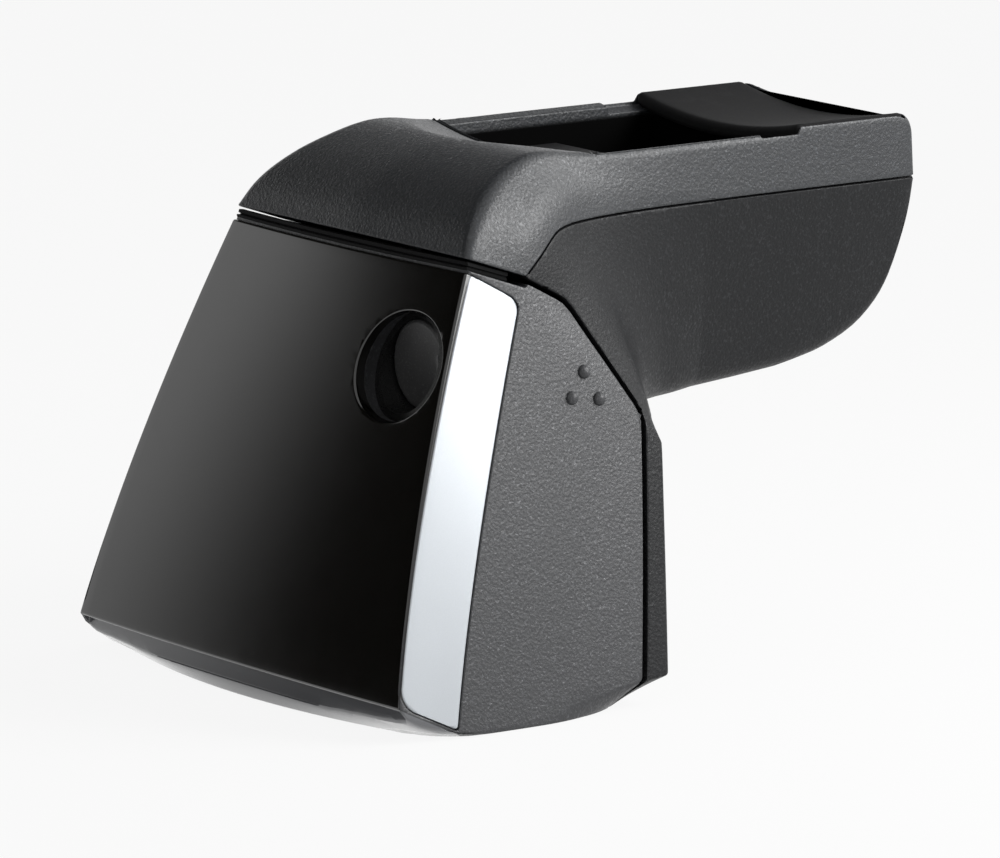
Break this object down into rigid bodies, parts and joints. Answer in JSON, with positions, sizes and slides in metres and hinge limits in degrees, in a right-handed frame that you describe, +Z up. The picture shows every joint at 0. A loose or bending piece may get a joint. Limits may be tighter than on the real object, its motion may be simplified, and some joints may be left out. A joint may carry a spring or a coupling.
{
  "type": "roof bar foot",
  "caption": "Tower-shaped roof bar foot with a lockable front cover, a cantilevered saddle for a crossbar and a bolt-driven clip carrier inside.",
  "frame": {"origin": "middle of the part's box in X and Y, on the base plane that stands on the roof", "axes": "+Z up, -Y out through the lockable cover to the car's side, +Y along the arm to the car's middle, +X to the side that the lock is on"},
  "size_m": [0.104, 0.1324, 0.0947],
  "materials": {
    "casting": "shot-blasted casting",
    "shell": "fine-grained moulded",
    "cap": "fine-grained moulded",
    "cover": "fine-grained moulded",
    "gloss": "polished",
    "bright": "silver lacquer, satin",
    "pad": "fine-grained",
    "seal": "plain",
    "steel": "zinc-plated",
    "brass": "plain",
    "zinc": "black-plated die-casting"
  },
  "bodies": {
    "foot": {"chassis": "casting", "rear_housing": "shell", "top_cap": "cap", "saddle_pad": "pad", "housing_screws": "steel", "cap_screws": "steel", "hinge_pins": "steel", "lock_keeper": "steel", "keeper_screws": "steel", "bolt_bush": "brass"},
    "cover": {"cover_shell": "cover", "gloss_panel": "gloss", "trim_left": "bright", "trim_right": "bright", "cover_seal": "seal", "lock_sleeve": "zinc", "sleeve_nut": "zinc"},
    "lock": {"lock_plug": "zinc", "lock_cam": "steel", "cam_screw": "steel"},
    "bolt": {"clamp_bolt": "steel", "bolt_washer": "steel", "bolt_collar": "steel"},
    "carrier": {"clip_carrier": "steel", "clip_pin": "steel"}
  },
  "joints": [
    {"name": "cover_hinge", "type": "hinge", "parent": "foot", "child": "cover", "pos_m": [0, -0.05755, 0.005], "axis": [1, 0, 0], "range_deg": [0, 60]},
    {"name": "lock_turn", "type": "hinge", "parent": "cover", "child": "lock", "pos_m": [0.0232, -0.04245, 0.0598], "axis": [0, -1, 0], "range_deg": [0, 90]},
    {"name": "clamp_bolt_turn", "type": "hinge", "parent": "foot", "child": "bolt", "pos_m": [0, -0.03195, 0.04771], "axis": [0, 0.342, -0.9397], "range_deg": [0, 3456]},
    {"name": "carrier_slide", "type": "slide", "parent": "foot", "child": "carrier", "axis": [0, -0.342, 0.9397], "range_m": [0, 0.012]}
  ],
  "couplings": [
    {"joint": "clamp_bolt_turn", "follows": "carrier_slide", "rad_per_m": 5026.5}
  ]
}
